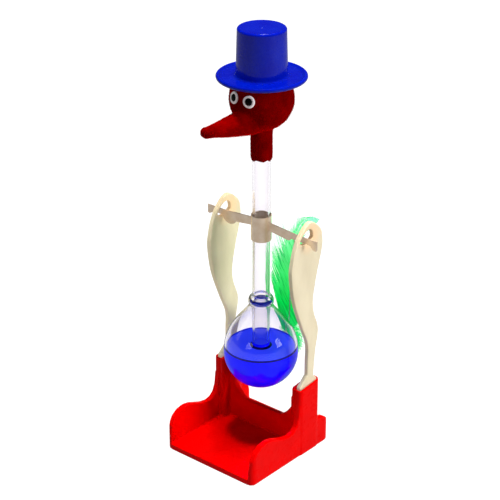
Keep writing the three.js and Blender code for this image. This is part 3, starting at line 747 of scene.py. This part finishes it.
def felt_body():
    """One felt skin over head, beak and neck, before the hollow for the glass is cut."""
    neck_low = (NECK_LOW.z - HEAD_Z) / MM
    neck_top = -8
    head = lathe(arc(0, HEAD_RADIUS / MM - FELT_TRIM, -90, 90, 40), 72)
    neck_radius = NECK_RADIUS / MM - FELT_TRIM
    neck = lathe([(0, neck_low), (neck_radius, neck_low), (neck_radius + 0.1, neck_top), (0, neck_top)], 60)
    vertices, faces = gathered([head, neck, beak_shape()])
    mesh = bpy.data.meshes.new("felt_forms")
    mesh.from_pydata(on_axis(vertices, HEAD_Z), [], faces)
    return evaluated_mesh(
        mesh,
        ("REMESH", {"mode": "VOXEL", "voxel_size": 0.4 * MM}),
        ("SMOOTH", {"factor": 0.5, "iterations": 14}),
    )


def felt_hollow():
    """The space that the glass takes inside the felt."""
    inner = GLASS_HEAD_RADIUS / MM + 0.1
    bore = TUBE_RADIUS + 0.08
    low = (NECK_LOW.z - HEAD_Z) / MM - 3
    angle = -math.degrees(math.acos(bore / inner))
    profile = [(0, low), (bore, low), *arc(0, inner, angle, 90, 24)]
    return lathe(profile, 64)


def cut_mesh(mesh, tool_vertices, tool_faces):
    """The mesh less a closed tool, both in metres."""
    tool_mesh = bpy.data.meshes.new("tool")
    tool_mesh.from_pydata(tool_vertices, [], tool_faces)
    tool = bpy.data.objects.new("tool", tool_mesh)
    bpy.context.scene.collection.objects.link(tool)
    cut = {"operation": "DIFFERENCE", "solver": "EXACT", "object": tool}
    result = evaluated_mesh(mesh, ("BOOLEAN", cut))
    bpy.data.objects.remove(tool)
    return result


def seat_under_hat(mesh):
    """Draws in the felt that the hat's crown covers, so that the brim sits on the rest."""
    inner = (CROWN_FOOT_RADIUS - HAT_WALL - HAT_CLEARANCE) * MM
    for vertex in mesh.vertices:
        if vertex.co.z < HAT_LOW.z - 0.1 * MM:
            continue
        radius = math.hypot(vertex.co.x, vertex.co.y - AXIS_Y)
        if radius > inner:
            vertex.co.x *= inner / radius
            vertex.co.y = AXIS_Y + (vertex.co.y - AXIS_Y) * inner / radius


def ragged_neck(mesh, random):
    """Makes the neck's lower edge uneven, as cut felt is."""
    bumps = random.uniform(-1, 1, 9)
    top = NECK_LOW.z + 2.2 * MM
    for vertex in mesh.vertices:
        depth = top - vertex.co.z
        if depth <= 0:
            continue
        angle = math.atan2(vertex.co.y - AXIS_Y, vertex.co.x)
        wave = sum(b * math.sin((k + 1) * angle + 5 * b) for k, b in enumerate(bumps)) / 4
        vertex.co.z += wave * depth * 0.35 + 0.1 * depth


def surface_samples(mesh, count, random, keep):
    """Random points and normals on the mesh's faces, spread by area, where keep(points) is true."""
    mesh.calc_loop_triangles()
    triangles = np.zeros(len(mesh.loop_triangles) * 3, int)
    mesh.loop_triangles.foreach_get("vertices", triangles)
    points = np.zeros(len(mesh.vertices) * 3)
    mesh.vertices.foreach_get("co", points)
    corners = points.reshape(-1, 3)[triangles.reshape(-1, 3)]
    crossed = np.cross(corners[:, 1] - corners[:, 0], corners[:, 2] - corners[:, 0])
    areas = np.linalg.norm(crossed, axis=1)
    areas *= keep(corners.mean(axis=1))
    chosen = random.choice(len(areas), count, p=areas / areas.sum())
    u = np.sqrt(random.random(count))[:, None]
    v = random.random(count)[:, None]
    a, b, c = (corners[chosen, k] for k in range(3))
    where = (1 - u) * a + u * (1 - v) * b + u * v * c
    return where, crossed[chosen] / np.linalg.norm(crossed[chosen], axis=1)[:, None]


def fuzz(where, normals, length_mm, width_mm, random):
    """Short closed spikes that lean at random, one on each point."""
    count = len(where)
    lean = normals + random.normal(0, FIBRE_LEAN, (count, 3))
    lean /= np.linalg.norm(lean, axis=1)[:, None]
    length = length_mm * MM * random.uniform(0.5, 1.3, count)[:, None]
    side = np.cross(normals, random.normal(0, 1, (count, 3)))
    side /= np.linalg.norm(side, axis=1)[:, None]
    other = np.cross(normals, side)
    width = width_mm * MM
    base = where - normals * FIBRE_ROOT * MM
    corners = [
        base + side * width / 2,
        base - side * width / 4 + other * width * 0.43,
        base - side * width / 4 - other * width * 0.43,
        base + lean * length,
    ]
    vertices = np.stack(corners, axis=1).reshape(-1, 3)
    faces = []
    for i in range(count):
        a = 4 * i
        faces += [(a, a + 2, a + 1), (a, a + 1, a + 3), (a + 1, a + 2, a + 3), (a + 2, a, a + 3)]
    return vertices, faces


def make_felt():
    random = np.random.default_rng(FELT_SEED)
    mesh = felt_body()
    seat_under_hat(mesh)
    shaken(mesh, 0.10, 3.2, 11.0)
    shaken(mesh, 0.07, 0.8, 3.0)
    ragged_neck(mesh, random)
    hollow_vertices, hollow_faces = felt_hollow()
    mesh = cut_mesh(mesh, on_axis(hollow_vertices, HEAD_Z), hollow_faces)
    skin = add_mesh(
        "felt_skin", mesh, felt_look(), "bird", ("head_felt", "neck_felt", "beak_felt"), 70
    )
    centre = np.array([0, AXIS_Y])

    def outside(points):
        radius = np.linalg.norm(points[:, :2] - centre, axis=1)
        from_head = np.linalg.norm(points - np.array([0, AXIS_Y, HEAD_Z]), axis=1)
        on_skin = (from_head > GLASS_HEAD_RADIUS + 0.4 * MM) & (radius > (TUBE_RADIUS + 0.25) * MM)
        return on_skin & (points[:, 2] < HAT_LOW.z - 0.3 * MM)

    where, normals = surface_samples(skin.data, FIBRES, random, outside)
    vertices, faces = fuzz(where, normals, FIBRE_LENGTH, FIBRE_WIDTH, random)
    add_piece("felt_fibres", vertices, faces, fibre_look(), "bird")


def facing_out(vertices, node):
    """Turns millimetre vertices made about +Z so that they lie on the head where a CAD eye lies."""
    low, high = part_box(node)
    middle = (low + high) / 2
    head = Vector((0, AXIS_Y, HEAD_Z))
    out = middle - head
    out.x *= EYE_SPREAD
    out.normalize()
    foot = head + out * (HEAD_RADIUS - EYE_SINK * MM)
    turn = out.to_track_quat("Z", "Y").to_matrix()
    return [foot + turn @ (Vector(v) * MM * EYE_SCALE) for v in vertices]


def make_eyes():
    white = gloss_look("eye_white_plastic", (0.78, 0.70, 0.70), (0.92, 0.86, 0.86), 0.3)
    black = gloss_look("eye_black_plastic", (0.001, 0.001, 0.001), (0.003, 0.003, 0.003), 0.2)
    disc = [
        (0, -0.4), (2.4, -0.4), (2.52, -0.15), (2.55, 0.1), (2.45, 0.28), (2.2, 0.4), (1.95, 0.44),
        (1.7, 0.42), (1.58, 0.34), (1.55, 0.2), (0, 0.2),
    ]
    pupil = [
        (0, 0.15), (1.5, 0.15), (1.52, 0.4), (1.45, 0.52), (1.2, 0.62), (0.8, 0.7), (0.4, 0.74), (0, 0.75),
    ]
    for side in ("left", "right"):
        disc_node = "eye_white_" + side
        pupil_node = "eye_pupil_" + side
        vertices, faces = lathe(disc, 48)
        placed = facing_out(vertices, disc_node)
        add_piece("eye_disc_" + side, placed, faces, white, "bird", (disc_node,))
        vertices, faces = lathe(pupil, 40)
        placed = facing_out(vertices, disc_node)
        add_piece("eye_dome_" + side, placed, faces, black, "bird", (pupil_node,))


# ---------------------------------------------------------------- hat


def make_hat():
    top = (HAT_HIGH.z - HAT_LOW.z) / MM
    brim = BRIM_RADIUS / MM
    half = BRIM_BEAD / 2
    edge = 0.95  # radius of the rounding round the crown's top
    under = top - CROWN_TOP_THICKNESS
    profile = [
        (0, under),
        (CROWN_TOP_RADIUS - HAT_WALL - 0.5, under),
        (CROWN_TOP_RADIUS - HAT_WALL, under - 0.5),
        (CROWN_FOOT_RADIUS - HAT_WALL, 0.3),
        (CROWN_FOOT_RADIUS - HAT_WALL + 0.3, 0),
        *arc(half, half, -90, 90, 12, brim - half),
        (brim - half - 0.5, BRIM_BEAD - 0.2),
        (brim - half - 0.9, BRIM_THICKNESS + 0.05),
        (brim - half - 1.4, BRIM_THICKNESS - 0.05),
        (CROWN_FOOT_RADIUS + 1.3, BRIM_THICKNESS),
        *arc(BRIM_THICKNESS + 0.9, 0.9, 270, 180, 6, CROWN_FOOT_RADIUS + 0.88),
        (CROWN_FOOT_RADIUS - 0.12, BRIM_THICKNESS + 3),
        (CROWN_TOP_RADIUS + 0.04, top - edge - 1.5),
        *arc(top - edge, edge, 0, 90, 9, CROWN_TOP_RADIUS - edge),
        (CROWN_TOP_RADIUS - 1.5, top - 0.05),
        (1.1, top - 0.12),
        (1.0, top - 0.02),
        (0.7, top),
        (0, top),
    ]
    vertices, faces = lathe(profile, 128)
    add_piece("top_hat", on_axis(vertices, HAT_LOW.z), faces, hat_look(), "bird", ("hat",), 50)


# ---------------------------------------------------------------- tail feather


def quill_points():
    """The quill's middle line in millimetres, from its foot behind the bulb to the curled tip."""
    foot = BULB_RADIUS / MM + 1.7
    corners = [
        (foot, -1.0), (foot + 1.5, 9.0), (foot + 2, TAIL_RISE * 0.5), (foot + 2.8, TAIL_RISE * 0.76),
        (foot + 6, TAIL_RISE * 0.93), (foot + 10.6, TAIL_RISE), (TAIL_REACH, TAIL_RISE - 0.6),
    ]
    line = np.array(smooth_line(corners, 24))
    steps = np.linalg.norm(np.diff(line, axis=0), axis=1)
    length = np.concatenate([[0], np.cumsum(steps)])
    return line, length / length[-1]


def vane_reach(share, width):
    """How far a barb that leaves the quill at a share of its length reaches sideways."""
    widens_over = 0.14
    narrows_over = 0.42
    opening = min(1.0, share / widens_over)
    closing = min(1.0, (1 - share) / narrows_over) ** 1.1
    return LEAST_BARB + (width - LEAST_BARB) * math.sqrt(opening) * closing


def barb(line, shares, share, side, width, random):
    """One barb: it leaves the quill sideways, leans towards the tip and droops a little."""
    full = vane_reach(share, width)
    reach = full * random.uniform(0.9, 1.03)
    long_one = random.random() < 0.3
    if WORN_FROM < share < WORN_TO and not long_one:
        close = min(1.0, (share - WORN_FROM) / 0.12)
        reach *= 1 - 0.5 * close * random.uniform(0.85, 1.0)
    least = 2.6 - 1.2 * max(0.0, share - 0.7) / 0.3
    reach = max(reach, least * random.uniform(0.85, 1.1))
    steps = 9
    lean = 1.25 - 0.35 * share + 3.0 * max(0.0, share - 0.72) + random.normal(0, 0.05)
    centres = []
    for k in range(steps + 1):
        t = k / steps
        forward = share + reach * t * lean * (0.75 + 0.25 * t) / QUILL_LENGTH
        at = np.array([np.interp(min(forward, 1.0), shares, line[:, a]) for a in (0, 1)])
        ahead = np.array([np.interp(min(forward + 0.01, 1.0), shares, line[:, a]) for a in (0, 1)])
        behind = np.array([np.interp(min(forward, 1.0) - 0.01, shares, line[:, a]) for a in (0, 1)])
        tangent = (ahead - behind) / max(np.linalg.norm(ahead - behind), 1e-9)
        normal = np.array([-tangent[1], tangent[0]])
        past = max(0.0, forward - 1.0) * QUILL_LENGTH
        droop = -0.12 * reach * t**1.6 + 0.25 * math.sin(9 * share + 2.2 * t)
        place = at + normal * droop + tangent * past
        centres.append((side * (0.3 + (reach - 0.3) * t), place[0], place[1]))
    taper = np.linspace(1, 0.22, steps + 1)
    wide = (0.4 if long_one else 0.66) * random.uniform(0.8, 1.25) * taper
    thin = 0.16 * taper
    across = np.array([0.0, 0.25, 1.0])
    return strand(centres, wide, thin, across)


def placed_tail(vertices):
    """Millimetres behind the axis and above the bulb's middle, as metres in the row frame."""
    points = np.array(vertices)
    points[:, 1] += AXIS_Y / MM
    points[:, 2] += BULB_Z / MM
    return points * MM


def make_vane(side, label, width, material, random):
    line, shares = quill_points()
    strands = []
    for i in range(BARBS):
        share = 0.04 + 0.93 * (i + random.uniform(-0.3, 0.3)) / BARBS
        strands.append(barb(line, shares, share, side, width, random))
    vertices, faces = gathered(strands)
    name = "feather_barbs_" + label
    node = "tail_vane_" + label
    add_piece(name, placed_tail(vertices), faces, material, "bird", (node,), 80)


def make_quill():
    line, shares = quill_points()
    centres = [(0, y, z) for y, z in line]
    widths = 0.95 - 0.72 * shares**1.4
    vertices, faces = strand(centres, widths, widths * 0.9, np.array([1.0, 0, 0]), 12)
    placed = placed_tail(vertices)
    add_piece("feather_quill", placed, faces, quill_look(), "bird", ("tail_quill",), 60)


def make_fluff(material, random):
    """Loose down at the quill's foot: curled strands that spread out round the tuft's middle, kept off the
    bulb.
    """
    low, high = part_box("tail_fluff")
    middle = (low + high) / 2
    size = (high - low) / 2
    root = Vector((0, low.y + 1.2 * MM, middle.z + size.z * 0.55))
    bulb = Vector((0, AXIS_Y, BULB_Z))
    nearest = BULB_RADIUS + 0.35 * MM
    sag = Vector((0, 0, -1.2 * MM))
    rings = 8
    strands = []
    for _ in range(DOWN_STRANDS):
        out = random.normal(0, 1, 3)
        out /= np.linalg.norm(out)
        reach = Vector((out[0] * size.x, out[1] * size.y, out[2] * size.z))
        end = middle + reach * random.uniform(0.7, 1.0)
        curl = Vector(random.normal(0, 1, 3)) * 1.3 * MM
        centres = []
        for k in range(rings):
            t = k / (rings - 1)
            p = root.lerp(end, t) + curl * math.sin(math.pi * t) + sag * t * (1 - t)
            away = p - bulb
            if away.length < nearest:
                p = bulb + away.normalized() * nearest
            centres.append(tuple(p / MM))
        taper = np.linspace(1, 0.25, rings)
        strands.append(strand(centres, 0.34 * taper, 0.14 * taper, np.array([0.3, 1.0, 0.2])))
    vertices, faces = gathered(strands)
    placed = np.array(vertices) * MM
    add_piece("feather_down", placed, faces, material, "bird", ("tail_fluff",), 80)


def make_glue():
    clear = Look("clear_glue", Transmission_Weight=0.6, IOR=1.45)
    clear.colour(clear.ramp(clear.noise(1.2, 3), (0.3, (0.75, 0.7, 0.58)), (0.7, (0.9, 0.87, 0.78))))
    clear.rough(clear.noise(0.6, 2), 0.15, 0.3)
    clear.bump(clear.noise(0.9, 2), 0.05, 0.6)
    refined("glue_drop", "tail_glue", 0.18, 4, clear.material, "bird")


def make_tail():
    random = np.random.default_rng(TAIL_SEED)
    green = feather_look()
    make_quill()
    make_vane(-1, "left", LEFT_VANE_WIDTH, green, random)
    make_vane(1, "right", RIGHT_VANE_WIDTH, green, random)
    make_fluff(green, random)
    make_glue()


# ---------------------------------------------------------------- hidden core of the beak


def dress_core():
    look = Look("porous_core")
    look.colour(look.ramp(look.noise(0.8, 4), (0.3, (0.34, 0.19, 0.08)), (0.7, (0.55, 0.35, 0.17))))
    look.rough(look.noise(0.5, 3), 0.8, 0.95)
    look.bump(look.noise(0.4, 4), 0.08, 0.8)
    data = frame["nodes"]["beak_core"].data
    data.materials.clear()
    data.materials.append(look.material)


# ---------------------------------------------------------------- studio

CAMERA_AZIMUTH = 40.51
CAMERA_ELEVATION = 25.58
CAMERA_DISTANCE = 0.6687
CAMERA_LENS = 121.87
CAMERA_AIM = Vector((3.28, -3.0, 91.65)) * MM


def make_camera():
    turn = math.radians(CAMERA_AZIMUTH)
    tilt = math.radians(CAMERA_ELEVATION)
    back = Vector((math.sin(turn) * math.cos(tilt), -math.cos(turn) * math.cos(tilt), math.sin(tilt)))
    data = bpy.data.cameras.new("camera")
    data.lens = CAMERA_LENS
    data.clip_start = 0.01
    data.clip_end = 50
    camera = bpy.data.objects.new("camera", data)
    camera.location = CAMERA_AIM + back * CAMERA_DISTANCE
    camera.rotation_mode = "QUATERNION"
    camera.rotation_quaternion = (-back).to_track_quat("-Z", "Y")
    bpy.context.scene.collection.objects.link(camera)
    bpy.context.scene.camera = camera


def make_floor():
    half = 4.0  # metres
    steps = 8
    grid = np.linspace(-half, half, steps + 1)
    vertices = [(x, y, 0.0) for y in grid for x in grid]
    row = steps + 1
    faces = [
        (j * row + i, j * row + i + 1, (j + 1) * row + i + 1, (j + 1) * row + i)
        for j in range(steps)
        for i in range(steps)
    ]
    mesh = bpy.data.meshes.new("floor")
    mesh.from_pydata(vertices, [], faces)
    mesh.materials.append(floor_look())
    floor = bpy.data.objects.new("floor", mesh)
    floor.location.z = -0.02 * MM  # just clear of the tray's underside
    bpy.context.scene.collection.objects.link(floor)


def add_light(name, place, aim, size, power, mirrored):
    """A rectangular lamp; where mirrored is false, gloss doesn't show it."""
    data = bpy.data.lights.new(name, "AREA")
    data.shape = "RECTANGLE"
    data.size, data.size_y = size
    data.energy = power
    light = bpy.data.objects.new(name, data)
    light.location = place
    light.visible_glossy = mirrored
    light.rotation_mode = "QUATERNION"
    light.rotation_quaternion = (Vector(aim) - Vector(place)).to_track_quat("-Z", "Y")
    bpy.context.scene.collection.objects.link(light)


def make_world():
    """A soft room, bright above and towards +X and +Y, and dim on the other side and below."""
    world = bpy.data.worlds.new("studio")
    bpy.context.scene.world = world
    world.use_nodes = True
    tree = world.node_tree
    place = tree.nodes.new("ShaderNodeTexCoord")
    turn = tree.nodes.new("ShaderNodeVectorMath")
    turn.operation = "DOT_PRODUCT"
    turn.inputs[1].default_value = Vector((0.5, 0.35, 0.8)).normalized()
    shade = tree.nodes.new("ShaderNodeMapRange")
    shade.inputs["From Min"].default_value = -0.5
    shade.inputs["From Max"].default_value = 0.9
    shade.inputs["To Min"].default_value = 0.1
    shade.inputs["To Max"].default_value = 1.6
    tree.links.new(place.outputs["Generated"], turn.inputs[0])
    tree.links.new(turn.outputs["Value"], shade.inputs["Value"])
    tree.links.new(shade.outputs["Result"], tree.nodes["Background"].inputs["Strength"])


def make_studio():
    make_camera()
    make_floor()
    make_world()
    middle = (0, 0, 0.1)
    add_light("key", (0.95, 0.25, 0.32), middle, (0.35, 0.35), 11, False)
    add_light("top", (0.03, 0.0, 1.1), middle, (0.22, 0.22), 21, False)
    add_light("left", (-0.75, -0.55, 0.5), middle, (0.25, 0.6), 1.2, False)
    add_light("front", (0.0, -0.9, 0.3), middle, (0.3, 0.3), 1.3, False)
    add_light("streak", (-0.25, 0.35, 0.8), middle, (0.06, 0.3), 0.5, True)
    bpy.context.scene.view_settings.view_transform = "Standard"


make_stand()
make_glass()
make_liquid()
make_felt()
make_eyes()
make_hat()
make_tail()
dress_core()
make_studio()
